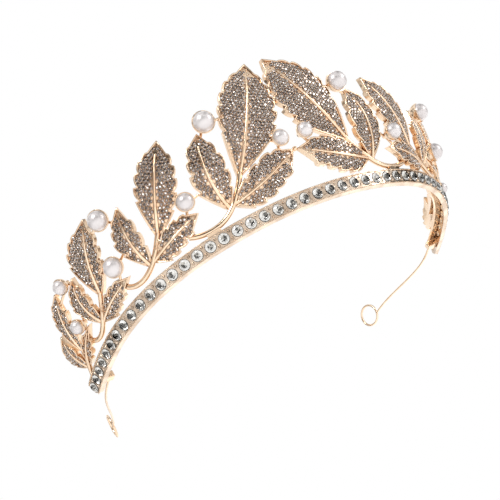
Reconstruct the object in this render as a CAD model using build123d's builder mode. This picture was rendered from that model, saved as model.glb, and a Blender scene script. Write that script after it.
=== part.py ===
from build123d import *
import os
from math import asin, atan2, cos, degrees, radians, sin, sqrt, tan

# Leaf-and-pearl bridal tiara. Row frame: X to the right seen from the front, Y to the
# back of the head, Z up. The band stands on Z = 0 and the whole piece is symmetric about X = 0.
# All decoration lies on one flared sheet. A place on it is (a, h, d): a = arc length along the
# band from the middle, h = height up the sheet from the stone centres, d = out of the sheet.

# ---- driving dimensions, mm and degrees ----
STONE_COUNT = 47
STONE_PITCH = 5.05
STONE_RADIUS = 1.95
STONE_TABLE = 1.1
STONE_SIDES = 16
BAND_ARCS = ((95.0, 40.5), (61.0, 52.0), (120.0, 26.2))  # radius and length, middle to end
BAND_HEIGHT = 4.9
BAND_THICK = 1.6
BAND_FACE = 0.2
FLARE = 21.9
FRONT_Y = -55.2
INNER_RAIL_WIDTH = 3.3
INNER_RAIL_TALL = 1.1
INNER_RAIL_HALF_LENGTH = 116.5
SEAT_BACK_RADIUS = 1.3
STUD_RADIUS = 0.5
STUD_TOP = 0.25
STUD_RISE = 0.4
END_WALL = 0.65
LEAF_THICK = 1.8
LEAF_ARCH = 0.09
LEAF_RIM = 0.42
PAVE_DEPTH = 0.35
RIB_BASE = 0.7
RIB_TIP = 0.3
STEM_RADIUS = 0.95
STEM_DEPTH = -1.45
CUP_WALL = 0.4
WIRE_RADIUS = 0.45
LOOP_RADIUS = 4.5
LOOP_WIRE_RADIUS = 0.5
LOOP_CENTRE = (63.9, 122.6, 7.1)
LOOP_TURN_RIGHT = 14.0
LOOP_TURN_LEFT = 0.0
WIRE_INSET = 3.4
CRIMP_AT = 111.3
CRIMP_LENGTH = 3.0

HALF_BAND = sum(length for radius, length in BAND_ARCS)
STONE_Z = BAND_HEIGHT / 2
F = radians(FLARE)


# ---- the flared sheet ----
def plan(a):
    """Centreline point and heading of the band, a measured from the middle."""
    side = 1 if a >= 0 else -1
    left = abs(a)
    x = 0.0
    y = 0.0
    turn = 0.0
    for radius, length in BAND_ARCS:
        step = max(0.0, min(left, length))
        new_turn = turn + step / radius
        x += radius * (sin(new_turn) - sin(turn))
        y += radius * (cos(turn) - cos(new_turn))
        turn = new_turn
        left -= length
    if left > 0:
        x += left * cos(turn)
        y += left * sin(turn)
    return side * x, y, side * turn


def outward(a):
    x, y, turn = plan(a)
    return Vector(sin(turn), -cos(turn), 0)


def along(a):
    x, y, turn = plan(a)
    return Vector(cos(turn), sin(turn), 0)


def face_normal(a):
    return outward(a) * cos(F) - Vector(0, 0, 1) * sin(F)


def place(a, h, d=0.0):
    """Row-frame point for a place on the flared sheet."""
    x, y, turn = plan(a)
    out = outward(a) * (h * sin(F) + d * cos(F))
    return Vector(x, y + FRONT_Y, STONE_Z + h * cos(F) - d * sin(F)) + out


def beside(a, r, z):
    """Row-frame point at radial distance r from the centreline and height z above the base."""
    x, y, turn = plan(a)
    return Vector(x, y + FRONT_Y, z) + outward(a) * r


def sheet_plane(a, h, d=0.0):
    return Plane(origin=place(a, h, d), x_dir=along(a), z_dir=face_normal(a))


def back_face(z):
    return (z - STONE_Z) * tan(F) - (BAND_THICK - BAND_FACE) / cos(F)


def front_face(z):
    return (z - STONE_Z) * tan(F) + BAND_FACE / cos(F)


def swept(profile, reach):
    """A profile of (r, z) corners turned about each arc centre, from -reach to +reach."""
    arcs = [list(arc) for arc in BAND_ARCS]
    arcs[2][1] = reach - arcs[0][1] - arcs[1][1]
    chain = (arcs[2], arcs[1], [arcs[0][0], 2 * arcs[0][1]], arcs[1], arcs[2])
    a = -reach
    with BuildPart() as body:
        for radius, length in chain:
            spot = beside(a, 0, 0)
            centre = spot - outward(a) * radius
            with BuildSketch(Plane(origin=spot, x_dir=-outward(a), z_dir=along(a))):
                with BuildLine():
                    Polyline(*[(-r, z) for r, z in profile], close=True)
                make_face()
            revolve(axis=Axis(centre, (0, 0, 1)), revolution_arc=degrees(length / radius))
            a += length
    return body.part


# ---- band ----
RAIL_PROFILE = (
    (front_face(0), 0),
    (front_face(BAND_HEIGHT), BAND_HEIGHT),
    (back_face(BAND_HEIGHT), BAND_HEIGHT),
    (back_face(0), 0),
)
RAIL_LOW = BAND_HEIGHT - 0.75
RAIL_TOP = RAIL_LOW + INNER_RAIL_TALL
RAIL_IN = back_face(BAND_HEIGHT) - INNER_RAIL_WIDTH
INNER_PROFILE = (
    (back_face(RAIL_LOW), RAIL_LOW),
    (back_face(BAND_HEIGHT), BAND_HEIGHT),
    (back_face(BAND_HEIGHT), RAIL_TOP),
    (RAIL_IN + 0.4, RAIL_TOP),
    (RAIL_IN, RAIL_TOP - 0.35),
    (RAIL_IN, RAIL_LOW + 0.35),
    (RAIL_IN + 0.4, RAIL_LOW),
)

rail_blank = swept(RAIL_PROFILE, HALF_BAND)
inner_rail = swept(INNER_PROFILE, INNER_RAIL_HALF_LENGTH)

stone_places = [(i - (STONE_COUNT - 1) / 2) * STONE_PITCH for i in range(STONE_COUNT)]
gap_places = [(i - (STONE_COUNT - 2) / 2) * STONE_PITCH for i in range(STONE_COUNT - 1)]
UP = (Align.CENTER, Align.CENTER, Align.MIN)
DOWN = (Align.CENTER, Align.CENTER, Align.MAX)
CULET = -1.25
GIRDLE = 0.15
CROWN = 1.0
SEAT_STEP = (STONE_RADIUS - SEAT_BACK_RADIUS) * (GIRDLE - CULET) / (STONE_RADIUS - 0.2)

def end_cuts():
    """Blocks that take the corners off both ends of the band, round the last stones."""
    cuts = []
    for side in (-1, 1):
        seat = Location(sheet_plane(side * stone_places[-1], 0, 0))
        for tilt in (-45, 45):
            reach = side * (STONE_RADIUS + END_WALL + 3)
            spot = seat * Location((0, 0, 0), (0, 0, tilt)) * Location((reach, 0, 0))
            cuts.append(Solid.make_box(6, 12, 12, Plane((-3, -6, -6))).moved(spot))
    return cuts


with BuildPart() as stud:
    Cone(bottom_radius=STUD_RADIUS, top_radius=STUD_TOP, height=STUD_RISE, align=UP)

studs = [
    stud.part.moved(Location(sheet_plane(a, h, BAND_FACE)))
    for a in gap_places
    for h in (1.35, -1.35)
]
band_studs = Compound(children=studs)

with BuildPart() as band_rail:
    add(rail_blank)
    with Locations(*[Location(sheet_plane(a, 0, GIRDLE)) for a in stone_places]):
        Cylinder(radius=STONE_RADIUS, height=1.5, align=UP, mode=Mode.SUBTRACT)
        Cylinder(radius=SEAT_BACK_RADIUS, height=4, align=DOWN, mode=Mode.SUBTRACT)
        Cone(
            bottom_radius=SEAT_BACK_RADIUS,
            top_radius=STONE_RADIUS,
            height=SEAT_STEP,
            align=DOWN,
            mode=Mode.SUBTRACT,
        )
    for cutter in end_cuts():
        add(cutter, mode=Mode.SUBTRACT)

with BuildPart() as one_stone:
    with BuildSketch(Plane.XY.offset(CULET)):
        RegularPolygon(radius=0.2, side_count=STONE_SIDES)
    with BuildSketch(Plane.XY.offset(GIRDLE)):
        RegularPolygon(radius=STONE_RADIUS, side_count=STONE_SIDES)
    loft(ruled=True)
    with BuildSketch(Plane.XY.offset(GIRDLE)):
        RegularPolygon(radius=STONE_RADIUS, side_count=STONE_SIDES)
    extrude(amount=0.2)
    with BuildSketch(Plane.XY.offset(GIRDLE + 0.2)):
        RegularPolygon(radius=STONE_RADIUS, side_count=STONE_SIDES)
    with BuildSketch(Plane.XY.offset(CROWN)):
        RegularPolygon(radius=STONE_TABLE, side_count=STONE_SIDES)
    loft(ruled=True)

stones = [one_stone.part.moved(Location(sheet_plane(a, 0, 0))) for a in stone_places]
band_stones = Compound(children=stones)

# ---- end wires with their loops, crimped inside the band (right side, then mirrored) ----
wire_r = back_face(STONE_Z) - WIRE_INSET
wire_z = STONE_Z - 0.3
loop_centre = Vector(LOOP_CENTRE[0], LOOP_CENTRE[1] + FRONT_Y, LOOP_CENTRE[2] + STONE_Z)
wire_exit = beside(HALF_BAND + 1.0, wire_r, wire_z)
loop_way = Vector(loop_centre.X - wire_exit.X, loop_centre.Y - wire_exit.Y, 0).normalized()
loop_side = Vector(loop_way.Y, -loop_way.X, 0)


def make_end_wire(turn):
    """Wire with its loop, on the right side; turn twists the loop about the vertical."""
    loop_face = loop_side.rotate(Axis.Z, turn)
    loop_flat = loop_way.rotate(Axis.Z, turn)
    join = loop_centre - loop_flat * (0.87 * LOOP_RADIUS) - Vector(0, 0, 1) * (0.45 * LOOP_RADIUS)
    with BuildPart() as end_wire:
        with BuildLine() as wire_path:
            Spline(
                beside(CRIMP_AT - 1.2, wire_r, wire_z),
                beside(CRIMP_AT + 4.0, wire_r, wire_z),
                wire_exit,
                wire_exit + (join - wire_exit) * 0.5 + loop_side * 0.6,
                join,
            )
        with BuildSketch(Plane(origin=wire_path.line @ 0, z_dir=wire_path.line % 0)):
            Circle(radius=WIRE_RADIUS)
        sweep(path=wire_path.line)
        with Locations(Location(Plane(origin=loop_centre, x_dir=loop_flat, z_dir=loop_face))):
            Torus(major_radius=LOOP_RADIUS, minor_radius=LOOP_WIRE_RADIUS)
    return end_wire.part


def make_crimp(end_wire):
    with BuildPart() as crimp:
        width = WIRE_INSET + 1.6
        middle = beside(CRIMP_AT, wire_r - 1.35 + width / 2, wire_z)
        with Locations(Location(Plane(origin=middle, x_dir=along(CRIMP_AT), z_dir=(0, 0, 1)))):
            Box(CRIMP_LENGTH, width, 2.7)
        fillet(crimp.edges().filter_by(GeomType.LINE), radius=0.5)
        add(rail_blank, mode=Mode.SUBTRACT)
        add(inner_rail, mode=Mode.SUBTRACT)
        add(end_wire, mode=Mode.SUBTRACT)
    return crimp.part


end_wire_right = make_end_wire(LOOP_TURN_RIGHT)
end_wire_left = make_end_wire(LOOP_TURN_LEFT)

# ---- stems: places down the sheet from the main leaf to the foot ----
STEMS = {
    1: ((20.0, 16.9), (22.8, 12.7), (25.3, 9.8), (28.7, 6.8), (32.5, 4.9), (37.0, 4.3), (41.2, 4.9), (44.4, 6.4)),
    2: ((51.5, 13.7), (54.6, 10.4), (57.8, 7.7), (61.5, 5.8), (65.2, 5.1), (68.4, 5.8), (70.3, 7.3)),
    3: ((79.1, 13.5), (82.8, 10.0), (86.2, 7.5), (89.5, 5.8), (92.8, 5.2), (95.5, 5.8), (97.2, 7.2)),
    4: ((105.0, 9.0), (108.0, 6.3), (110.5, 4.6), (113.2, 2.4)),
}


def make_stem(number):
    with BuildPart() as stem:
        with BuildLine() as way:
            Spline(*[place(-a, h, STEM_DEPTH) for a, h in STEMS[number]])
        with BuildSketch(Plane(origin=way.line @ 0, z_dir=way.line % 0)):
            Circle(radius=STEM_RADIUS)
        sweep(path=way.line)
        if number == 1:
            with Locations(Location(sheet_plane(-37.0, 3.1, -1.1))):
                Box(5.0, 1.6, 1.4)
        add(rail_blank, mode=Mode.SUBTRACT)
        add(inner_rail, mode=Mode.SUBTRACT)
    return stem.part


stems = {number: make_stem(number) for number in STEMS}

# ---- leaves: base, tip, sideways bow of the midrib, then the tooth points of each margin ----
# A tooth point is (distance from the base along the leaf, half width there). The first margin
# lies on the left of the way from base to tip, seen from the front.
LEAVES = {
    "1_main": (
        (20.5, 15.9, -1.2), (2.9, 50.5, -2.4), -0.9,
        ((13.2, 7.0), (17.6, 8.4), (22.0, 9.0), (26.9, 8.5), (31.5, 6.8), (35.2, 3.8)),
        ((13.6, 10.2), (18.0, 11.2), (22.8, 11.3), (28.0, 10.0), (32.2, 7.6), (35.8, 4.4)),
    ),
    "1_outer": (
        (28.5, 7.7, -1.2), (26.2, 34.2, -0.4), 2.6,
        ((7.9, 7.9), (13.9, 8.2), (18.8, 7.2), (23.3, 5.1)),
        ((6.2, 3.7), (11.7, 4.5), (17.7, 4.1), (22.3, 2.8)),
    ),
    "1_inner": (
        (26.5, 8.1, -1.2), (0.9, 16.9, -0.4), -1.2,
        ((8.0, 3.9), (14.0, 5.0), (20.0, 4.9), (24.2, 3.2)),
        ((4.2, 5.6), (8.2, 6.9), (13.0, 7.1), (17.4, 6.4), (21.9, 5.6)),
    ),
    "2_main": (
        (52.0, 12.8, -1.3), (36.9, 39.2, -1.8), 0.6,
        ((11.0, 6.9), (15.5, 7.5), (20.0, 7.1), (24.2, 5.8), (27.0, 3.7)),
        ((8.0, 5.6), (13.6, 6.6), (18.2, 6.7), (22.4, 5.9), (26.4, 4.2)),
    ),
    "2_outer": (
        (59.6, 7.2, -1.2), (56.6, 28.7, -0.4), 1.5,
        ((6.6, 5.9), (11.5, 7.0), (15.3, 5.7), (18.6, 3.6)),
        ((6.0, 2.6), (11.0, 2.7), (16.0, 2.2)),
    ),
    "2_inner": (
        (57.7, 7.3, -1.2), (37.9, 11.5, -0.4), 0.3,
        ((6.2, 3.6), (10.5, 4.5), (14.1, 4.2), (17.4, 3.2)),
        ((4.4, 4.5), (8.3, 4.5), (12.0, 4.2), (15.7, 3.6)),
    ),
    "3_main": (
        (79.6, 12.8, -1.3), (66.8, 33.9, -1.6), 0.5,
        ((10.6, 8.6), (15.1, 8.6), (18.7, 7.0), (21.2, 4.5)),
        ((6.6, 4.0), (11.4, 4.3), (16.0, 4.1), (20.2, 3.1)),
    ),
    "3_outer": (
        (87.2, 7.0, -1.2), (82.6, 24.0, -0.5), 1.9,
        ((5.6, 6.2), (8.9, 7.4), (12.1, 6.2), (14.8, 4.1)),
        ((6.2, 2.0), (10.6, 1.7), (14.4, 1.3)),
    ),
    "3_inner": (
        (86.2, 6.9, -1.2), (67.6, 9.4, -0.5), 0.3,
        ((5.6, 3.0), (9.3, 3.6), (12.8, 3.5), (15.8, 2.8)),
        ((5.6, 4.0), (9.9, 3.4), (13.8, 2.9)),
    ),
    "4_main": (
        (105.4, 9.4, -1.3), (93.3, 27.2, -1.6), 0.5,
        ((7.8, 4.4), (11.8, 5.2), (15.1, 4.7), (18.3, 3.3)),
        ((6.2, 3.1), (11.0, 3.2), (15.4, 2.9)),
    ),
    "4_outer": (
        (110.4, 4.9, -1.2), (107.0, 18.9, -0.8), 1.2,
        ((3.2, 5.4), (5.8, 7.1), (8.5, 7.0), (11.0, 5.1)),
        ((5.0, 1.9), (8.7, 1.9)),
    ),
    "4_inner": (
        (108.9, 5.3, -1.2), (92.0, 10.6, -0.6), 0.2,
        ((5.2, 2.2), (9.2, 2.3), (13.2, 1.8)),
        ((4.6, 2.4), (8.6, 2.6), (12.6, 2.2)),
    ),
}


def leaf_plane(name):
    """Plane through a left-hand leaf's base and tip, x along the leaf, and its length."""
    base, tip = LEAVES[name][:2]
    start = place(-base[0], base[1], base[2])
    axis = place(-tip[0], tip[1], tip[2]) - start
    middle = face_normal(-(base[0] + tip[0]) / 2)
    up = middle - axis * (middle.dot(axis) / axis.length**2)
    return Plane(origin=start, x_dir=axis, z_dir=up), axis.length


def dome(length):
    """Radius of the domed leaf and the height of the dome's centre in the leaf's plane."""
    rise = LEAF_ARCH * length
    radius = (length**2 / 4 + rise**2) / (2 * rise)
    return radius, rise - radius


def inside_leaf(name, a, h):
    """Point half way through a leaf's thickness, over a place on the sheet."""
    plane, length = leaf_plane(name)
    radius, centre = dome(length)
    spot = plane.to_local_coords(place(-a, h, ARM_DEPTH))
    inner = radius - LEAF_THICK / 2
    depth = centre + sqrt(inner**2 - spot.Y**2 - (spot.X - length / 2) ** 2)
    return plane.from_local_coords(Vector(spot.X, spot.Y, depth))


# ---- pearls and their cups: place, radius, then the leaves and places the cup arms reach ----
PEARLS = {
    1: ((4.3, 21.4, 2.0), 2.6, (("1_main", 8.2, 22.9), ("1_inner", 5.6, 16.9))),
    2: ((23.0, 36.3, 1.5), 3.5, (("1_main", 17.0, 35.3), ("1_outer", 26.4, 31.6))),
    3: ((39.6, 16.3, 2.0), 2.9, (("1_outer", 34.0, 16.6), ("2_main", 42.8, 19.0), ("2_inner", 41.2, 12.2))),
    4: ((62.4, 29.0, 2.0), 3.35, (("3_main", 68.0, 28.0), ("2_outer", 59.6, 24.6))),
    5: ((68.1, 14.6, 2.0), 3.25, (("3_main", 73.2, 17.6), ("3_inner", 70.6, 10.2), ("2_outer", 63.0, 16.0))),
    6: ((86.2, 25.0, 1.8), 2.5, (("3_outer", 83.4, 21.6), ("4_main", 94.3, 23.4))),
    7: ((93.8, 13.0, 1.8), 2.4, (("4_inner", 95.2, 10.0), ("4_main", 98.0, 16.4), ("3_outer", 89.8, 15.0))),
}
ARM_DEPTH = -2.0
ARM_RADIUS = 0.5


def make_pearl(number):
    (a, h, d), radius, arms = PEARLS[number]
    with BuildPart() as pearl:
        with Locations(Location(sheet_plane(-a, h, d))):
            Sphere(radius=radius)
    return pearl.part


def make_cup(number):
    (a, h, d), radius, arms = PEARLS[number]
    spot = Location(sheet_plane(-a, h, d))
    with BuildPart() as cup:
        with Locations(spot):
            Sphere(radius=radius + CUP_WALL)
            big = 2 * radius + 4
            Box(big, big, big, align=(Align.CENTER, Align.CENTER, Align.MIN), mode=Mode.SUBTRACT)
            Cylinder(radius=1.0, height=d - ARM_DEPTH + ARM_RADIUS, align=DOWN)
        centre = place(-a, h, ARM_DEPTH)
        for leaf_name, arm_a, arm_h in arms:
            reach = inside_leaf(leaf_name, arm_a, arm_h) - centre
            with Locations(Location(Plane(origin=centre, z_dir=reach))):
                Cylinder(radius=ARM_RADIUS, height=reach.length, align=UP)
        with Locations(spot):
            Sphere(radius=radius, mode=Mode.SUBTRACT)
    return cup.part


pearls = {number: make_pearl(number) for number in PEARLS}
cups = {number: make_cup(number) for number in PEARLS}

# ---- solder beads that join the two halves on the middle line ----
with BuildPart() as centre_links:
    with Locations(place(0, 17.0, -1.3), place(0, 39.0, -1.7)):
        Sphere(radius=0.9)

# ---- leaves ----
BASE_HALF = 0.9
FIRST_BOW = 0.02
TOOTH_BOW = 0.13
LAST_BOW = 0.01
RIB_REACH = 0.84
RIB_STEPS = 5


def margin(teeth):
    """Corners of one leaf edge, base to tip: tooth points and the notches behind them."""
    corners = []
    for u, width in teeth:
        bite = min(0.65 + 0.08 * width, 0.4 * width)
        corners.append((u, width))
        corners.append((u + 0.3, width - bite))
    return corners


def edge_lines(start, corners, end, side):
    """Bowed backs up to each tooth, straight cuts into each notch."""
    here = start
    for i, corner in enumerate(corners + [end]):
        there = corner
        if i % 2 == 0:
            dx = there[0] - here[0]
            dy = there[1] - here[1]
            size = sqrt(dx * dx + dy * dy)
            bow = (FIRST_BOW if i == 0 else LAST_BOW if i == len(corners) else TOOTH_BOW) * size
            middle = ((here[0] + there[0]) / 2 - dy / size * bow, (here[1] + there[1]) / 2 + dx / size * bow)
            ThreePointArc(
                (here[0], side * here[1]), (middle[0], side * middle[1]), (there[0], side * there[1])
            )
        else:
            Line((here[0], side * here[1]), (there[0], side * there[1]))
        here = there


def pulled_in(corners):
    """The same margin moved inside the rim."""
    moved = []
    for i, corner in enumerate(corners):
        if i % 2 == 0:
            moved.append((corner[0] - 0.8 * LEAF_RIM, corner[1] - 1.2 * LEAF_RIM))
        else:
            moved.append((corner[0] + 0.05, corner[1] - 1.0 * LEAF_RIM))
    return moved


def leaf_face(plane, length, left, right, inner):
    root = (0.8, BASE_HALF - 0.4) if inner else (0, BASE_HALF)
    peak = (length - 1.1, 0) if inner else (length, 0)
    one = margin(left)
    two = margin(right)
    if inner:
        one = pulled_in(one)
        two = pulled_in(two)
    with BuildSketch(plane) as face:
        with BuildLine():
            edge_lines(root, one, peak, 1)
            edge_lines(root, two, peak, -1)
            Line(root, (root[0], -root[1]))
        make_face()
    return face


def make_rib(plane, length, bow):
    """Tapered midrib that follows the leaf's own sideways curve and its dome."""
    radius, centre = dome(length)
    with BuildPart() as rib:
        for step in range(RIB_STEPS + 1):
            t = RIB_REACH * step / RIB_STEPS
            lean = atan2(4 * bow * (1 - 2 * t), length)
            off = length / 2 - t * length
            depth = centre + sqrt(radius**2 - off**2) - 0.25
            spot = Location((t * length, 4 * bow * t * (1 - t), depth))
            turn = Location((0, 0, 0), (0, 0, degrees(lean)))
            pitch = Location((0, 0, 0), (0, 90 - degrees(asin(off / radius)), 0))
            here = Location(plane) * spot * turn * pitch
            with BuildSketch(Plane(here)):
                Circle(radius=RIB_BASE + (RIB_TIP - RIB_BASE) * step / RIB_STEPS)
        loft()
    return rib.part


def overlaps(one, two):
    b = one.bounding_box()
    c = two.bounding_box()
    apart = (
        b.min.X > c.max.X or c.min.X > b.max.X
        or b.min.Y > c.max.Y or c.min.Y > b.max.Y
        or b.min.Z > c.max.Z or c.min.Z > b.max.Z
    )
    return not apart


def make_leaf(name, cutters):
    bow, left, right = LEAVES[name][2:]
    plane, length = leaf_plane(name)
    radius, centre = dome(length)
    ball = Location(plane) * Location((length / 2, 0, centre), (0, 90, 0))
    face = leaf_face(plane, length, left, right, False)
    with BuildPart() as field:
        add(leaf_face(plane, length, left, right, True).sketch)
        extrude(amount=6, dir=plane.z_dir, both=True)
        with Locations(ball):
            Sphere(radius=radius - PAVE_DEPTH, mode=Mode.SUBTRACT)
    with BuildPart() as leaf:
        add(face.sketch)
        extrude(amount=6, dir=plane.z_dir, both=True)
        with Locations(ball):
            Sphere(radius=radius, mode=Mode.INTERSECT)
            Sphere(radius=radius - LEAF_THICK, mode=Mode.SUBTRACT)
        add(field.part, mode=Mode.SUBTRACT)
        add(make_rib(plane, length, bow))
        for cutter in cutters:
            if overlaps(leaf.part, cutter):
                add(cutter, mode=Mode.SUBTRACT)
    return leaf.part.solids().sort_by(SortBy.VOLUME)[-1]


cutters = [rail_blank, inner_rail, centre_links.part]
cutters += list(stems.values()) + list(cups.values()) + list(pearls.values())
leaves = {}
for name in LEAVES:
    leaves[name] = make_leaf(name, cutters)
    cutters.append(leaves[name])

# the two middle leaves meet: the right one is cut back behind the left one
with BuildPart() as right_main:
    add(mirror(leaves["1_main"], about=Plane.YZ))
    add(leaves["1_main"], mode=Mode.SUBTRACT)

# ---- nodes ----
nodes = {
    "band_rail": band_rail.part,
    "inner_rail": inner_rail,
    "band_stones": band_stones,
    "band_studs": band_studs,
    "centre_links": centre_links.part,
    "crimp_right": make_crimp(end_wire_right),
    "crimp_left": mirror(make_crimp(end_wire_left), about=Plane.YZ),
    "end_wire_right": end_wire_right,
    "end_wire_left": mirror(end_wire_left, about=Plane.YZ),
    "pearl_cups_left": Compound(children=[cups[number] for number in cups]),
    "pearl_cups_right": Compound(children=[mirror(cups[number], about=Plane.YZ) for number in cups]),
}
for number in stems:
    nodes[f"stem_left_{number}"] = stems[number]
    nodes[f"stem_right_{number}"] = mirror(stems[number], about=Plane.YZ)
for name in leaves:
    nodes[f"leaf_left_{name}"] = leaves[name]
    nodes[f"leaf_right_{name}"] = mirror(leaves[name], about=Plane.YZ)
nodes["leaf_right_1_main"] = right_main.part.solids().sort_by(SortBy.VOLUME)[-1]
for number in pearls:
    nodes[f"pearl_left_{number}"] = pearls[number]
    nodes[f"pearl_right_{number}"] = mirror(pearls[number], about=Plane.YZ)

os.makedirs("parts", exist_ok=True)
for name, part in nodes.items():
    part.label = name
    export_step(part, f"parts/{name}.step")
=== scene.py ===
import random
from math import ceil, cos, pi, radians, sin, sqrt

import bpy
from mathutils import Matrix, Vector
from mathutils.bvhtree import BVHTree


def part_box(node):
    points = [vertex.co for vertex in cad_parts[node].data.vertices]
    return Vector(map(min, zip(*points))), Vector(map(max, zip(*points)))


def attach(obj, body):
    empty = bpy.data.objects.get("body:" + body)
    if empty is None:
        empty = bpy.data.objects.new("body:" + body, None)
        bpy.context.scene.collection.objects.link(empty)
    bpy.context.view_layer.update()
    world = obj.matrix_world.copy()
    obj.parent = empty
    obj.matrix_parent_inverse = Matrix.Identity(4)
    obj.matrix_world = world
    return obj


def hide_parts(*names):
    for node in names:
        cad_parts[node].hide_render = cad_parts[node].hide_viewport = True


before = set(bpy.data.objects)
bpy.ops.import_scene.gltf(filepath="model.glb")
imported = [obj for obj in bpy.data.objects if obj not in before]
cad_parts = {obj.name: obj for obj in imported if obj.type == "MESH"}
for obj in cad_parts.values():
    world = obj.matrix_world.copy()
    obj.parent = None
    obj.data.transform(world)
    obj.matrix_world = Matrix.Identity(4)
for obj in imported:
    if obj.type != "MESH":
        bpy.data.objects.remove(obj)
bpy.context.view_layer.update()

# Looks of a leaf-and-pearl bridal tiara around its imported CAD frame. Lengths below are in
# millimetres on the same flared sheet as the CAD model: a = arc length along the band from the
# middle, h = height up the sheet, d = out of the sheet. MM turns them into metres.
MM = 0.001
SEED = 7
rng = random.Random(SEED)

# ---- driving dimensions shared with the CAD model ----
STONE_COUNT = 47
STONE_PITCH = 5.05
STONE_RADIUS = 1.95
BAND_ARCS = ((95.0, 40.5), (61.0, 52.0), (120.0, 26.2))
BAND_HEIGHT = 4.9
BAND_FACE = 0.2
FLARE = radians(21.9)
FRONT_Y = -55.2
LEAF_ARCH = 0.09
PAVE_DEPTH = 0.35
HALF_BAND = sum(length for radius, length in BAND_ARCS)
STONE_Z = BAND_HEIGHT / 2

# For each leaf: where its base and its tip lie (a, h, d), the sideways bow of its rib, and the
# tooth points (u along the leaf, width from the rib) of its two edges, base to tip.
LEAVES = {
    "1_main": (
        (20.5, 15.9, -1.2), (2.9, 50.5, -2.4), -0.9,
        ((13.2, 7.0), (17.6, 8.4), (22.0, 9.0), (26.9, 8.5), (31.5, 6.8), (35.2, 3.8)),
        ((13.6, 10.2), (18.0, 11.2), (22.8, 11.3), (28.0, 10.0), (32.2, 7.6), (35.8, 4.4)),
    ),
    "1_outer": (
        (28.5, 7.7, -1.2), (26.2, 34.2, -0.4), 2.6,
        ((7.9, 7.9), (13.9, 8.2), (18.8, 7.2), (23.3, 5.1)),
        ((6.2, 3.7), (11.7, 4.5), (17.7, 4.1), (22.3, 2.8)),
    ),
    "1_inner": (
        (26.5, 8.1, -1.2), (0.9, 16.9, -0.4), -1.2,
        ((8.0, 3.9), (14.0, 5.0), (20.0, 4.9), (24.2, 3.2)),
        ((4.2, 5.6), (8.2, 6.9), (13.0, 7.1), (17.4, 6.4), (21.9, 5.6)),
    ),
    "2_main": (
        (52.0, 12.8, -1.3), (36.9, 39.2, -1.8), 0.6,
        ((11.0, 6.9), (15.5, 7.5), (20.0, 7.1), (24.2, 5.8), (27.0, 3.7)),
        ((8.0, 5.6), (13.6, 6.6), (18.2, 6.7), (22.4, 5.9), (26.4, 4.2)),
    ),
    "2_outer": (
        (59.6, 7.2, -1.2), (56.6, 28.7, -0.4), 1.5,
        ((6.6, 5.9), (11.5, 7.0), (15.3, 5.7), (18.6, 3.6)),
        ((6.0, 2.6), (11.0, 2.7), (16.0, 2.2)),
    ),
    "2_inner": (
        (57.7, 7.3, -1.2), (37.9, 11.5, -0.4), 0.3,
        ((6.2, 3.6), (10.5, 4.5), (14.1, 4.2), (17.4, 3.2)),
        ((4.4, 4.5), (8.3, 4.5), (12.0, 4.2), (15.7, 3.6)),
    ),
    "3_main": (
        (79.6, 12.8, -1.3), (66.8, 33.9, -1.6), 0.5,
        ((10.6, 8.6), (15.1, 8.6), (18.7, 7.0), (21.2, 4.5)),
        ((6.6, 4.0), (11.4, 4.3), (16.0, 4.1), (20.2, 3.1)),
    ),
    "3_outer": (
        (87.2, 7.0, -1.2), (82.6, 24.0, -0.5), 1.9,
        ((5.6, 6.2), (8.9, 7.4), (12.1, 6.2), (14.8, 4.1)),
        ((6.2, 2.0), (10.6, 1.7), (14.4, 1.3)),
    ),
    "3_inner": (
        (86.2, 6.9, -1.2), (67.6, 9.4, -0.5), 0.3,
        ((5.6, 3.0), (9.3, 3.6), (12.8, 3.5), (15.8, 2.8)),
        ((5.6, 4.0), (9.9, 3.4), (13.8, 2.9)),
    ),
    "4_main": (
        (105.4, 9.4, -1.3), (93.3, 27.2, -1.6), 0.5,
        ((7.8, 4.4), (11.8, 5.2), (15.1, 4.7), (18.3, 3.3)),
        ((6.2, 3.1), (11.0, 3.2), (15.4, 2.9)),
    ),
    "4_outer": (
        (110.4, 4.9, -1.2), (107.0, 18.9, -0.8), 1.2,
        ((3.2, 5.4), (5.8, 7.1), (8.5, 7.0), (11.0, 5.1)),
        ((5.0, 1.9), (8.7, 1.9)),
    ),
    "4_inner": (
        (108.9, 5.3, -1.2), (92.0, 10.6, -0.6), 0.2,
        ((5.2, 2.2), (9.2, 2.3), (13.2, 1.8)),
        ((4.6, 2.4), (8.6, 2.6), (12.6, 2.2)),
    ),
}

# half width at the stalk, the bows of the edge between teeth, and the notch behind each tooth
BASE_HALF = 0.9
FIRST_BOW = 0.02
TOOTH_BOW = 0.13
LAST_BOW = 0.01
NOTCH_STEP = 0.3
PEARLS = 7

# ---- band trim: how the stones sit in the CAD seats, and the bead rows along both edges ----
STONE_GAP = 0.12
STONE_LIFT = 0.28
FOIL_DROP = 0.03
PAVILION_START = 32
CUP_SIDES = 20
# radius and depth of each ring of a gold cup, from its front lip round its small hole and back
CUP_RINGS = (
    (1.27, -0.55), (1.25, -1.15), (0.95, -1.55), (0.42, -1.72), (0.42, -1.60), (0.9, -1.42), (1.1, -1.05),
)
MILGRAIN_PITCH = 0.62
MILGRAIN_RADIUS = 0.23
MILGRAIN_INSET = 0.28
MILGRAIN_END = 0.6

# ---- pave: small crystals in slanted rows, with gold grains between them ----
GEM_PITCH = 1.25
GEM_RADIUS = 0.6
GEM_LEAN = radians(7)
GEM_LIFT = 0.12
GEM_CLEAR = 0.34
ROW_SLANT = radians(24)
GRAIN_RADIUS = 0.2
GRAIN_LIFT = 0.22
GRAIN_CLEAR = 0.12
RIB_CLEAR = 0.3
FLOOR_TOLERANCE = 0.12
PROBE_START = 9.0
PROBE_LENGTH = 16.0
LEAF_HALF_WIDTH = 12.0
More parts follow.
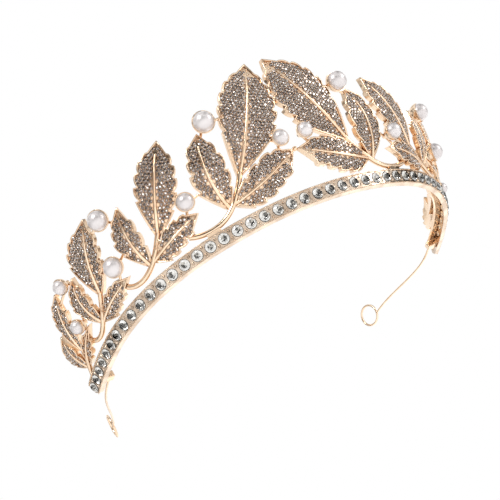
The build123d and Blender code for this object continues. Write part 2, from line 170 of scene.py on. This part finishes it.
# plain gold patches by the tip, left without stones: u and v ranges on the leaf
PLAIN_PATCHES = {
    "1_main": ((34.4, 38.6), (-4.0, -0.9)),
    "1_inner": ((22.4, 27.0), (-4.0, -0.7)),
}

# ---- rounded rim along each leaf's edge ----
ARC_STEPS = 6
RIM_RADIUS = 0.27
RIM_INSET = 0.2
RIM_SINK = 0.08
RIM_REACH = 0.4
RIM_SIDES = 8

# ---- finishes: painted glints and painted reflections of the facets as (value, weight) pairs, and two reaches in metres, the first for the painted shade in crevices ----
GEM_GLINT_WEIGHTS = ((0.08, 3), (0.32, 4), (0.6, 3), (0.92, 2))
FOIL_GLINT_WEIGHTS = ((0.06, 5), (0.3, 5), (0.9, 2))
GLINT_SPREAD = 0.12
CREVICE_SHADE_REACH = 0.0007
EDGE_ROUND = 0.00012

# ---- camera and stage: where the camera stands and how it looks, and the room's levels ----
CAMERA_AT = Vector((-163.6, -303.1, -154.8)) * MM
CAMERA_BEARING = radians(27.87)
CAMERA_CLIMB = radians(27.52)
CAMERA_ROLL = radians(34.3)
CAMERA_LENS = 73.5
FLOOR_Z = -0.36
FLOOR_HALF = 4.0
LIGHTS_AIM = Vector((0, 0, 0.02))
ROOM_LIGHT = 1.1
FLOOR_GLOW = 0.35


# ---- the flared sheet ----
def plan(a):
    """Place and heading of the band's line in plan, at arc length a from the middle."""
    side = 1 if a >= 0 else -1
    left = abs(a)
    x = y = turn = 0.0
    for radius, length in BAND_ARCS:
        step = max(0.0, min(left, length))
        new_turn = turn + step / radius
        x += radius * (sin(new_turn) - sin(turn))
        y += radius * (cos(turn) - cos(new_turn))
        turn = new_turn
        left -= length
    return side * x, y, side * turn


def along(a):
    """Direction along the band."""
    turn = plan(a)[2]
    return Vector((cos(turn), sin(turn), 0))


def face_normal(a):
    """Direction out of the flared sheet."""
    turn = plan(a)[2]
    return Vector((sin(turn) * cos(FLARE), -cos(turn) * cos(FLARE), -sin(FLARE)))


def place(a, h, d=0.0):
    """Point in millimetres for a place on the flared sheet."""
    x, y, turn = plan(a)
    reach = h * sin(FLARE) + d * cos(FLARE)
    return Vector((
        x + sin(turn) * reach,
        y + FRONT_Y - cos(turn) * reach,
        STONE_Z + h * cos(FLARE) - d * sin(FLARE),
    ))


# ---- leaf dome and outline, as in the CAD model ----
def dome(length):
    """Radius of the domed leaf and the height of the dome's centre in the leaf's plane."""
    rise = LEAF_ARCH * length
    radius = (length**2 / 4 + rise**2) / (2 * rise)
    return radius, rise - radius


def margin(teeth):
    """Corners of one leaf edge, base to tip: tooth points and the notches behind them."""
    corners = []
    for u, width in teeth:
        bite = min(0.65 + 0.08 * width, 0.4 * width)
        corners.append((u, width))
        corners.append((u + NOTCH_STEP, width - bite))
    return corners


def outline(name, length):
    """Closed run of (u, v) places round one leaf, base to tip and back."""
    run = []
    for side, teeth in ((1, LEAVES[name][3]), (-1, LEAVES[name][4])):
        corners = margin(teeth) + [(length, 0)]
        here = (0, BASE_HALF)
        row = [here]
        for i, there in enumerate(corners):
            if i % 2 == 0:
                dx = there[0] - here[0]
                dy = there[1] - here[1]
                bow = FIRST_BOW if i == 0 else LAST_BOW if i == len(corners) - 1 else TOOTH_BOW
                for step in range(1, ARC_STEPS + 1):
                    t = step / ARC_STEPS
                    rise = 4 * bow * t * (1 - t)
                    row.append((here[0] + t * dx - rise * dy, here[1] + t * dy + rise * dx))
            else:
                row.append(there)
            here = there
        row = [(u, side * v) for u, v in row]
        run += row if side == 1 else row[-2::-1]
    return run


# ---- mesh helpers ----
def new_piece(name, points, faces, material, smooth=False):
    """One finished piece from points in millimetres, riding on the only body."""
    mesh = bpy.data.meshes.new(name)
    mesh.from_pydata([tuple(p * MM) for p in points], [], faces)
    mesh.materials.append(material)
    mesh.validate()
    if smooth:
        mesh.shade_smooth()
    piece = bpy.data.objects.new(name, mesh)
    bpy.context.scene.collection.objects.link(piece)
    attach(piece, "root")
    return piece


def mirror(spot):
    """The same place on the other half."""
    return Vector((-spot.x, spot.y, spot.z))


def stamp(shape, seats, mirrored=False):
    """Copies of one small shape (points, faces) at seats (origin, x axis, y axis, z axis)."""
    shape_points, shape_faces = shape
    points = []
    faces = []
    for origin, x_axis, y_axis, z_axis in seats:
        start = len(points)
        for p in shape_points:
            q = origin + x_axis * p[0] + y_axis * p[1] + z_axis * p[2]
            points.append(mirror(q) if mirrored else q)
        for face in shape_faces:
            order = reversed(face) if mirrored else face
            faces.append([start + i for i in order])
    return points, faces


def ring(radius, height, count, phase=0.0):
    """Points round a circle."""
    turns = [phase + i * 2 * pi / count for i in range(count)]
    return [(radius * cos(turn), radius * sin(turn), height) for turn in turns]


def ball(radius, rings, sides):
    """A small closed sphere as points and faces."""
    points = [(0, 0, radius)]
    for r in range(1, rings):
        tilt = pi * r / rings
        points += ring(radius * sin(tilt), radius * cos(tilt), sides)
    points.append((0, 0, -radius))
    faces = [(0, 1 + i, 1 + (i + 1) % sides) for i in range(sides)]
    for r in range(rings - 2):
        low = 1 + r * sides
        high = low + sides
        for i in range(sides):
            j = (i + 1) % sides
            faces.append((low + i, high + i, high + j, low + j))
    last = len(points) - 1
    low = last - sides
    faces += [(last, low + (i + 1) % sides, low + i) for i in range(sides)]
    return points, faces


def small_gem(radius):
    """Eight-sided crystal: table, crown facets, thin girdle and a short pavilion."""
    sides = 8
    half = pi / sides
    points = ring(0.50 * radius, 0.52 * radius, sides, half)
    points += ring(0.84 * radius, 0.30 * radius, sides)
    points += ring(radius, 0.0, sides, half)
    points.append((0, 0, -0.5 * radius))
    faces = [tuple(range(sides))]
    for i in range(sides):
        j = (i + 1) % sides
        faces.append((i, sides + j, j))
        faces.append((i, 2 * sides + i, sides + j))
        faces.append((i, sides + i, 2 * sides + i))
        faces.append((2 * sides + i, 2 * sides + j, sides + j))
        faces.append((2 * sides + i, 3 * sides, 2 * sides + j))
    return points, faces


def brilliant(radius):
    """Round brilliant: table, star, kite and girdle facets over a pointed pavilion."""
    half = pi / 8
    table = ring(0.56 * radius, 0.46 * radius, 8, half)
    middle = ring(0.80 * radius, 0.27 * radius, 8)
    girdle = ring(radius, 0.06 * radius, 16)
    under = ring(radius, 0.0, 16)
    waist = ring(0.52 * radius, -0.36 * radius, 8, half)
    points = table + middle + girdle + under + waist + [(0, 0, -0.72 * radius)]
    faces = [tuple(range(8))]
    for i in range(8):
        j = (i + 1) % 8
        edge = 16 + 2 * i
        faces.append((i, 8 + j, j))
        faces.append((i, 8 + i, edge + 1))
        faces.append((i, edge + 1, 8 + j))
        faces.append((8 + i, edge, edge + 1))
        faces.append((edge + 1, 16 + 2 * j, 8 + j))
    for i in range(16):
        j = (i + 1) % 16
        faces.append((16 + i, 32 + i, 32 + j, 16 + j))
    for i in range(8):
        j = (i + 1) % 8
        low = 32 + 2 * i
        faces.append((low, 48 + i, low + 1))
        faces.append((low + 1, 48 + i, 32 + 2 * j))
        faces.append((48 + i, 56, 48 + j, 32 + 2 * j))
    return points, faces


# ---- materials ----
def shader(name, **values):
    """A new material with constant values on its main shader's sockets."""
    material = bpy.data.materials.new(name)
    material.use_nodes = True
    body = material.node_tree.nodes["Principled BSDF"]
    for key, value in values.items():
        body.inputs[key.replace("_", " ")].default_value = value
    return material, material.node_tree, body


def ramp(tree, source, stops):
    """Colour by a value, through stops of (position, colour)."""
    node = tree.nodes.new("ShaderNodeValToRGB")
    node.color_ramp.elements.remove(node.color_ramp.elements[0])
    node.color_ramp.elements[0].position = stops[0][0]
    node.color_ramp.elements[0].color = (*stops[0][1], 1)
    for position, colour in stops[1:]:
        node.color_ramp.elements.new(position).color = (*colour, 1)
    tree.links.new(source, node.inputs[0])
    return node.outputs[0]


def noise(tree, scale, detail=2.0):
    """Soft noise fixed to the object."""
    where = tree.nodes.new("ShaderNodeTexCoord")
    node = tree.nodes.new("ShaderNodeTexNoise")
    node.inputs["Scale"].default_value = scale
    node.inputs["Detail"].default_value = detail
    tree.links.new(where.outputs["Object"], node.inputs["Vector"])
    return node.outputs["Fac"]


def times(tree, one, two):
    """Two colours multiplied."""
    mix = tree.nodes.new("ShaderNodeMix")
    mix.data_type = "RGBA"
    mix.blend_type = "MULTIPLY"
    mix.inputs[0].default_value = 1.0
    tree.links.new(one, mix.inputs[6])
    tree.links.new(two, mix.inputs[7])
    return mix.outputs[2]


def bump(tree, body, height, strength, distance):
    """Surface bump from a height value."""
    node = tree.nodes.new("ShaderNodeBump")
    node.inputs["Strength"].default_value = strength
    node.inputs["Distance"].default_value = distance
    tree.links.new(height, node.inputs["Height"])
    tree.links.new(node.outputs[0], body.inputs["Normal"])
    return node


def gold_material(name, pale, deep, painted_shade_colour, low, high):
    """Champagne plating: slow colour drift, polish marks, softened edges, and painted shade that turns the
    colour brown in the crevices.
    """
    material, tree, body = shader(name, Metallic=1.0)
    drift = ramp(tree, noise(tree, 160.0), ((0.35, deep), (0.62, pale)))
    # painted shade: the base colour darkens to the shade colour where other surfaces are close, in crevices
    # and recesses
    crevice_shade_mask = tree.nodes.new("ShaderNodeAmbientOcclusion")
    crevice_shade_mask.samples = 4
    crevice_shade_mask.inputs["Distance"].default_value = CREVICE_SHADE_REACH
    depth = ramp(tree, crevice_shade_mask.outputs["AO"], ((0.25, painted_shade_colour), (0.75, (1.0, 1.0, 1.0))))
    tree.links.new(times(tree, drift, depth), body.inputs["Base Color"])
    rough = ramp(tree, noise(tree, 900.0, 3.0), ((0.3, (low,) * 3), (0.7, (high,) * 3)))
    tree.links.new(rough, body.inputs["Roughness"])
    edge = tree.nodes.new("ShaderNodeBevel")
    edge.samples = 4
    edge.inputs["Radius"].default_value = EDGE_ROUND
    marks = bump(tree, body, noise(tree, 1500.0, 2.0), 0.12, 0.0001)
    ripple = bump(tree, body, noise(tree, 420.0, 1.0), 0.5, 0.0003)
    tree.links.new(edge.outputs[0], ripple.inputs["Normal"])
    tree.links.new(ripple.outputs[0], marks.inputs["Normal"])
    tree.links.new(marks.outputs[0], body.inputs["Normal"])
    return material


# each gold's third colour is its painted shade in the crevices
gold = gold_material(
    "champagne_gold", (0.93, 0.73, 0.54), (0.84, 0.61, 0.42), (0.46, 0.29, 0.18), 0.13, 0.24
)
bright_gold = gold_material(
    "bright_gold", (0.90, 0.71, 0.52), (0.80, 0.57, 0.39), (0.42, 0.25, 0.15), 0.08, 0.16
)
# the band's gold is a darker copy of the same gold: painted shade
band_gold_painted_shade = gold_material(
    "band_gold_painted_shade", (0.76, 0.62, 0.49), (0.52, 0.40, 0.30), (0.30, 0.21, 0.15), 0.12, 0.22
)
# the cups' gold is a lighter copy of the same gold: painted light
cup_gold_painted_light = gold_material(
    "cup_gold_painted_light", (1.0, 0.86, 0.68), (0.95, 0.78, 0.58), (0.60, 0.42, 0.28), 0.30, 0.40
)

pearl, tree, body = shader(
    "pearl_lustre", Metallic=0.5, Roughness=0.34, Coat_Weight=0.45, Coat_Roughness=0.08
)
tint = ramp(tree, noise(tree, 180.0), ((0.35, (0.66, 0.615, 0.61)), (0.65, (0.76, 0.72, 0.715))))
tree.links.new(tint, body.inputs["Base Color"])
bump(tree, body, noise(tree, 700.0, 3.0), 0.03, 0.0001)


def painted_facet_glints(tree, body, stops):
    """Painted glints and painted dark reflections: base colour by the brightness given to each facet."""
    glint = tree.nodes.new("ShaderNodeAttribute")
    glint.attribute_name = "glint"
    tree.links.new(ramp(tree, glint.outputs["Fac"], stops), body.inputs["Base Color"])


# the pave crystals' facet colours are painted glints and painted dark reflections, from near black to white
gem, tree, body = shader(
    "pave_crystal", Metallic=0.85, Roughness=0.07, Coat_Weight=0.6, Coat_Roughness=0.02
)
painted_facet_glints(tree, body, (
    (0.0, (0.03, 0.024, 0.020)),
    (0.3, (0.23, 0.185, 0.16)),
    (0.62, (0.50, 0.43, 0.39)),
    (1.0, (1.0, 0.96, 0.93)),
))

glass, tree, body = shader(
    "band_crystal", Base_Color=(0.72, 0.71, 0.68, 1), Roughness=0.0, Transmission_Weight=1.0, IOR=1.56
)
# the foil's facet colours are painted glints and painted dark reflections, from near black to white
foil, tree, body = shader("stone_foil", Metallic=1.0, Roughness=0.04)
painted_facet_glints(tree, body, (
    (0.0, (0.035, 0.033, 0.03)),
    (0.45, (0.29, 0.275, 0.255)),
    (1.0, (1.0, 0.98, 0.95)),
))


def set_painted_glints(piece, weights):
    """A fixed random brightness for each facet, a painted glint or painted reflection, so the cut shows
    from every side.
    """
    mesh = piece.data
    layer = mesh.attributes.new("glint", "FLOAT", "FACE")
    kinds = [value for value, weight in weights for _ in range(weight)]
    for item in layer.data:
        tone = rng.choice(kinds) + rng.uniform(-GLINT_SPREAD, GLINT_SPREAD)
        item.value = min(1.0, max(0.0, tone))


# ---- CAD nodes keep their shapes and take the finished materials ----
for name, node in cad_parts.items():
    finish = bright_gold if name.startswith("stem") else gold
    # the band rail and studs take the darker copy of the gold, painted shade
    if name in ("band_rail", "band_studs"):
        finish = band_gold_painted_shade
    if name.startswith("pearl_left") or name.startswith("pearl_right"):
        finish = pearl
    for slot in node.material_slots:
        slot.material = finish


# ---- leaves: pave and rims laid on each CAD leaf ----
def leaf_frame(name):
    """Origin, axes and length of a left-hand leaf, as the CAD model lays it."""
    base, tip = LEAVES[name][:2]
    start = place(-base[0], base[1], base[2])
    axis = place(-tip[0], tip[1], tip[2]) - start
    length = axis.length
    axis.normalize()
    middle = face_normal(-(base[0] + tip[0]) / 2)
    out = (middle - axis * middle.dot(axis)).normalized()
    return start, axis, out.cross(axis), out, length


def surface(node):
    """A CAD node's surface, to measure against."""
    return BVHTree.FromObject(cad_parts[node], bpy.context.evaluated_depsgraph_get())


def pave_seats(name):
    """Seats for a left leaf's crystals and grains, each with whether the right leaf has it too."""
    start, axis, across, out, length = leaf_frame(name)
    radius, centre = dome(length)
    bow = LEAVES[name][2]
    tree = surface(f"leaf_left_{name}")
    other = surface(f"leaf_right_{name}")
    patch_u, patch_v = PLAIN_PATCHES.get(name, ((0, 0), (0, 0)))

    def dome_at(u, v, sink):
        return centre + sqrt((radius - sink) ** 2 - v * v - (u - length / 2) ** 2)

    def floor_at(u, v):
        above = (start + axis * u + across * v + out * PROBE_START) * MM
        spot = tree.ray_cast(above, -out, PROBE_LENGTH * MM)[0]
        if spot is None:
            return None
        depth = (spot / MM - start).dot(out)
        return depth if abs(depth - dome_at(u, v, PAVE_DEPTH)) < FLOOR_TOLERANCE else None

    def seat_at(kind, u, v):
        """A seat at one place on the leaf, or None where the stone field has no room for it."""
        clear, lift = (GEM_CLEAR, GEM_LIFT) if kind == "gem" else (GRAIN_CLEAR, GRAIN_LIFT)
        around = [floor_at(u + clear * cos(t), v + clear * sin(t)) for t in (0, pi / 2, pi, 3 * pi / 2)]
        depth = floor_at(u, v)
        if depth is None or None in around:
            return None
        spot = start + axis * u + across * v + out * depth
        up = (axis * (u - length / 2) + across * v + out * (depth - centre)).normalized()
        lean = Matrix.Rotation(rng.uniform(-GEM_LEAN, GEM_LEAN), 3, axis)
        lean = lean @ Matrix.Rotation(rng.uniform(-GEM_LEAN, GEM_LEAN), 3, across)
        spin = Matrix.Rotation(rng.uniform(0, pi), 3, up)
        z_axis = lean @ up
        x_axis = (spin @ axis).cross(z_axis).normalized()
        also_right = other.find_nearest(mirror(spot) * MM)[3] < FLOOR_TOLERANCE * MM
        return spot + up * lift, x_axis, z_axis.cross(x_axis), z_axis, also_right

    found = {"gem": [], "grain": []}
    row_gap = GEM_PITCH * sqrt(3) / 2
    cell = (("gem", 0, 0), ("grain", GEM_PITCH / 2, row_gap / 3), ("grain", 0, 2 * row_gap / 3))
    rows = ceil((length + LEAF_HALF_WIDTH) / row_gap) + 2
    columns = ceil((length + LEAF_HALF_WIDTH) / GEM_PITCH) + 2
    for side in (1, -1):
        slant = side * ROW_SLANT
        for i in range(-rows, rows):
            for j in range(-columns, columns):
                p = (j + 0.5 * (i % 2)) * GEM_PITCH
                q = i * row_gap
                for kind, dp, dq in cell:
                    u = (p + dp) * cos(slant) - (q + dq) * sin(slant)
                    v = (p + dp) * sin(slant) + (q + dq) * cos(slant)
                    if not (0 < u < length) or v * side < RIB_CLEAR or abs(v) > LEAF_HALF_WIDTH:
                        continue
                    v += 4 * bow * u / length * (1 - u / length)
                    plain = patch_u[0] < u < patch_u[1] and patch_v[0] < v < patch_v[1]
                    if plain and (kind == "gem" or (i + j) % 2):
                        continue
                    seat = seat_at(kind, u, v)
                    if seat:
                        found[kind].append(seat)
    return found["gem"], found["grain"]


def rim_runs(name, side):
    """The rounded rim of a leaf: runs of places along its edge where the casting is."""
    start, axis, across, out, length = leaf_frame(name)
    radius, centre = dome(length)
    tree = surface(f"leaf_{side}_{name}")
    ring_round = outline(name, length)
    runs = [[]]
    for i, (u, v) in enumerate(ring_round):
        u0, v0 = ring_round[max(0, i - 1)]
        u1, v1 = ring_round[min(len(ring_round) - 1, i + 1)]
        size = sqrt((u1 - u0) ** 2 + (v1 - v0) ** 2)
        u += RIM_INSET * (v1 - v0) / size
        v -= RIM_INSET * (u1 - u0) / size
        crown = centre + sqrt(radius**2 - v * v - (u - length / 2) ** 2)
        spot = start + axis * u + across * v + out * (crown - RIM_SINK)
        where = mirror(spot) if side == "right" else spot
        if tree.find_nearest(where * MM)[3] < RIM_REACH * MM:
            runs[-1].append(spot)
        elif runs[-1]:
            runs.append([])
    return [run for run in runs if len(run) > 3], out


def tube(run, out, radius, sides, mirrored):
    """Closed round tube along a run of points."""
    points = []
    faces = []
    for i, spot in enumerate(run):
        heading = (run[min(len(run) - 1, i + 1)] - run[max(0, i - 1)]).normalized()
        side = heading.cross(out).normalized()
        over = side.cross(heading)
        for j in range(sides):
            turn = 2 * pi * j / sides
            p = spot + side * (radius * cos(turn)) + over * (radius * sin(turn))
            points.append(mirror(p) if mirrored else p)
        if i:
            low = (i - 1) * sides
            for j in range(sides):
                k = (j + 1) % sides
                face = [low + j, low + k, low + sides + k, low + sides + j]
                faces.append(face[::-1] if mirrored else face)
    last = (len(run) - 1) * sides
    caps = [list(range(sides))[::-1], list(range(last, last + sides))]
    faces += [cap[::-1] for cap in caps] if mirrored else caps
    return points, faces


def joined(shapes):
    """Several shapes (points, faces) as one."""
    points = []
    faces = []
    for more, loops in shapes:
        start = len(points)
        points += more
        faces += [[start + i for i in loop] for loop in loops]
    return points, faces


GEM = small_gem(GEM_RADIUS)
GRAIN = ball(GRAIN_RADIUS, 4, 6)
for name in LEAVES:
    gems, grains = pave_seats(name)
    for side, mirrored in (("left", False), ("right", True)):
        for kind, shape, seats in (("pave", GEM, gems), ("grains", GRAIN, grains)):
            here = [seat[:4] for seat in seats if seat[4] or not mirrored]
            points, faces = stamp(shape, here, mirrored)
            if kind == "pave":
                piece = new_piece(f"pave_{side}_{name}", points, faces, gem)
                set_painted_glints(piece, GEM_GLINT_WEIGHTS)
            else:
                new_piece(f"grains_{side}_{name}", points, faces, bright_gold, smooth=True)
        runs, out = rim_runs(name, side)
        points, faces = joined([tube(run, out, RIM_RADIUS, RIM_SIDES, mirrored) for run in runs])
        new_piece(f"rim_{side}_{name}", points, faces, bright_gold, smooth=True)

# ---- band: brilliants over foil, and milgrain along both edges ----
stone_places = [(i - (STONE_COUNT - 1) / 2) * STONE_PITCH for i in range(STONE_COUNT)]
seats = []
for a in stone_places:
    spin = Matrix.Rotation(rng.uniform(0, pi / 4), 3, face_normal(a))
    x_axis = spin @ along(a)
    z_axis = face_normal(a)
    y_axis = z_axis.cross(x_axis)
    seats.append((place(a, 0, STONE_LIFT), x_axis, y_axis, z_axis))
stone_points, stone_faces = brilliant(STONE_RADIUS - STONE_GAP)
points, faces = stamp((stone_points, stone_faces), seats)
stones = new_piece("band_brilliants", points, faces, glass)
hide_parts("band_stones")

# the foil lies just under each stone's pavilion, which starts at the lower girdle ring
foil_points = [(x, y, z - FOIL_DROP) for x, y, z in stone_points[PAVILION_START:]]
foil_faces = [[i - PAVILION_START for i in face] for face in stone_faces if min(face) >= PAVILION_START]
points, faces = stamp((foil_points, foil_faces), seats)
foils = new_piece("band_foils", points, faces, foil)
set_painted_glints(foils, FOIL_GLINT_WEIGHTS)

# gold cups behind the stones, with a small hole, seen through the back of the seats, in a lighter gold that
# is painted light
cup_points = []
for radius, depth in CUP_RINGS:
    cup_points += ring(radius, depth, CUP_SIDES)
cup_faces = []
for k in range(len(CUP_RINGS)):
    low = k * CUP_SIDES
    high = (k + 1) % len(CUP_RINGS) * CUP_SIDES
    for i in range(CUP_SIDES):
        j = (i + 1) % CUP_SIDES
        cup_faces.append((low + j, low + i, high + i, high + j))
seats = [(place(a, 0), along(a), face_normal(a).cross(along(a)), face_normal(a)) for a in stone_places]
points, faces = stamp((cup_points, cup_faces), seats)
new_piece("stone_cups", points, faces, cup_gold_painted_light, smooth=True)

# fine beads along both edges of the band's face
count = int(2 * (HALF_BAND - MILGRAIN_END) / MILGRAIN_PITCH)
seats = []
for edge in (1, -1):
    for i in range(count + 1):
        a = (i - count / 2) * MILGRAIN_PITCH
        h = edge * (BAND_HEIGHT / 2 / cos(FLARE) - MILGRAIN_INSET)
        seats.append((place(a, h, BAND_FACE), along(a), Vector((0, 0, 1)), face_normal(a)))
points, faces = stamp(ball(MILGRAIN_RADIUS, 4, 6), seats)
new_piece("band_milgrain", points, faces, bright_gold, smooth=True)

# ---- pearls: smooth balls in the CAD pearls' places ----
PEARL = ball(1.0, 32, 48)
for side in ("left", "right"):
    for number in range(1, PEARLS + 1):
        low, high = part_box(f"pearl_{side}_{number}")
        low = Vector(low) / MM
        high = Vector(high) / MM
        radius = (high - low).x / 2
        axes = [Vector(v) * radius for v in ((1, 0, 0), (0, 1, 0), (0, 0, 1))]
        points, faces = stamp(PEARL, [((low + high) / 2, *axes)])
        piece = new_piece(f"pearl_ball_{side}_{number}", points, faces, pearl, smooth=True)
        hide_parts(f"pearl_{side}_{number}")

# ---- stage: pale floor well below, soft lights, camera ----
floor_mesh = bpy.data.meshes.new("floor")
floor_corners = [(x * FLOOR_HALF, y * FLOOR_HALF, FLOOR_Z) for x, y in ((-1, -1), (1, -1), (1, 1), (-1, 1))]
floor_mesh.from_pydata(floor_corners, [], [(0, 1, 2, 3)])
floor_finish, tree, body = shader(
    "floor_white", Base_Color=(0.93, 0.93, 0.93, 1), Roughness=0.9,
    Emission_Color=(1, 1, 1, 1), Emission_Strength=FLOOR_GLOW,
)
floor_mesh.materials.append(floor_finish)
floor = bpy.data.objects.new("floor", floor_mesh)
bpy.context.scene.collection.objects.link(floor)

world = bpy.data.worlds.new("studio")
bpy.context.scene.world = world
world.use_nodes = True
tree = world.node_tree
where = tree.nodes.new("ShaderNodeTexCoord")


def toward(direction, stops):
    """Tone by the angle to one direction of the room."""
    aim = tree.nodes.new("ShaderNodeVectorMath")
    aim.operation = "DOT_PRODUCT"
    aim.inputs[1].default_value = direction
    tree.links.new(where.outputs["Generated"], aim.inputs[0])
    half = tree.nodes.new("ShaderNodeMath")
    half.operation = "MULTIPLY_ADD"
    half.inputs[1].default_value = 0.5
    half.inputs[2].default_value = 0.5
    tree.links.new(aim.outputs["Value"], half.inputs[0])
    return ramp(tree, half.outputs[0], [(position, (tone, tone, tone)) for position, tone in stops])


# a dim corner where the photographer stands, a brighter ceiling, and dark cards between soft boxes
corner = toward((-0.41, -0.78, -0.46), ((0.0, 1.0), (0.62, 0.95), (0.84, 0.62), (0.96, 0.22)))
ceiling = toward((0.0, 0.0, 1.0), ((0.1, 0.45), (0.5, 0.75), (0.8, 1.0)))
cards = tree.nodes.new("ShaderNodeTexNoise")
cards.inputs["Scale"].default_value = 2.3
cards.inputs["Detail"].default_value = 0.5
tree.links.new(where.outputs["Generated"], cards.inputs["Vector"])
panels = ramp(tree, cards.outputs["Fac"], (
    (0.43, (0.05, 0.045, 0.04)),
    (0.50, (0.62, 0.61, 0.60)),
    (0.58, (1.0, 1.0, 1.0)),
))
tone = times(tree, times(tree, corner, ceiling), panels)
# the white backdrop behind the piece has no cards in front of it
backdrop_side = toward((0.41, 0.78, 0.46), ((0.78, 0.0), (0.93, 1.0)))
lift = tree.nodes.new("ShaderNodeMix")
lift.data_type = "RGBA"
tree.links.new(backdrop_side, lift.inputs[0])
tree.links.new(tone, lift.inputs[6])
lift.inputs[7].default_value = (1, 1, 1, 1)
room = tree.nodes["Background"]
room.inputs["Strength"].default_value = ROOM_LIGHT
tree.links.new(lift.outputs[2], room.inputs["Color"])
# the camera itself sees plain white behind the piece
backdrop = tree.nodes.new("ShaderNodeBackground")
backdrop.inputs["Color"].default_value = (1, 1, 1, 1)
seen = tree.nodes.new("ShaderNodeLightPath")
swap = tree.nodes.new("ShaderNodeMixShader")
tree.links.new(seen.outputs["Is Camera Ray"], swap.inputs[0])
tree.links.new(room.outputs[0], swap.inputs[1])
tree.links.new(backdrop.outputs[0], swap.inputs[2])
tree.links.new(swap.outputs[0], tree.nodes["World Output"].inputs[0])


def soft_light(name, at, power, size):
    """A square soft box aimed at the piece."""
    data = bpy.data.lights.new(name, "AREA")
    data.energy = power
    data.size = size
    light = bpy.data.objects.new(name, data)
    light.location = at
    light.visible_camera = False
    light.rotation_euler = (LIGHTS_AIM - Vector(at)).to_track_quat("-Z", "Y").to_euler()
    bpy.context.scene.collection.objects.link(light)


soft_light("key", (-0.55, -0.65, 0.60), 4.0, 0.30)
soft_light("side", (0.75, -0.55, 0.10), 1.6, 0.30)
soft_light("under", (0.27, 0.51, -0.28), 0.4, 0.50)

# the camera, rolled about its own line of sight
data = bpy.data.cameras.new("camera")
data.lens = CAMERA_LENS
data.sensor_width = 36.0
data.clip_start = 0.01
camera = bpy.data.objects.new("camera", data)
forward = Vector((
    sin(CAMERA_BEARING) * cos(CAMERA_CLIMB),
    cos(CAMERA_BEARING) * cos(CAMERA_CLIMB),
    sin(CAMERA_CLIMB),
))
level = forward.cross(Vector((0, 0, 1))).normalized()
right = Matrix.Rotation(CAMERA_ROLL, 3, forward) @ level
up = right.cross(forward)
axes = Matrix((right, up, -forward)).transposed().to_4x4()
camera.matrix_world = Matrix.Translation(CAMERA_AT) @ axes
bpy.context.scene.collection.objects.link(camera)
bpy.context.scene.camera = camera
bpy.context.scene.view_settings.view_transform = "Standard"
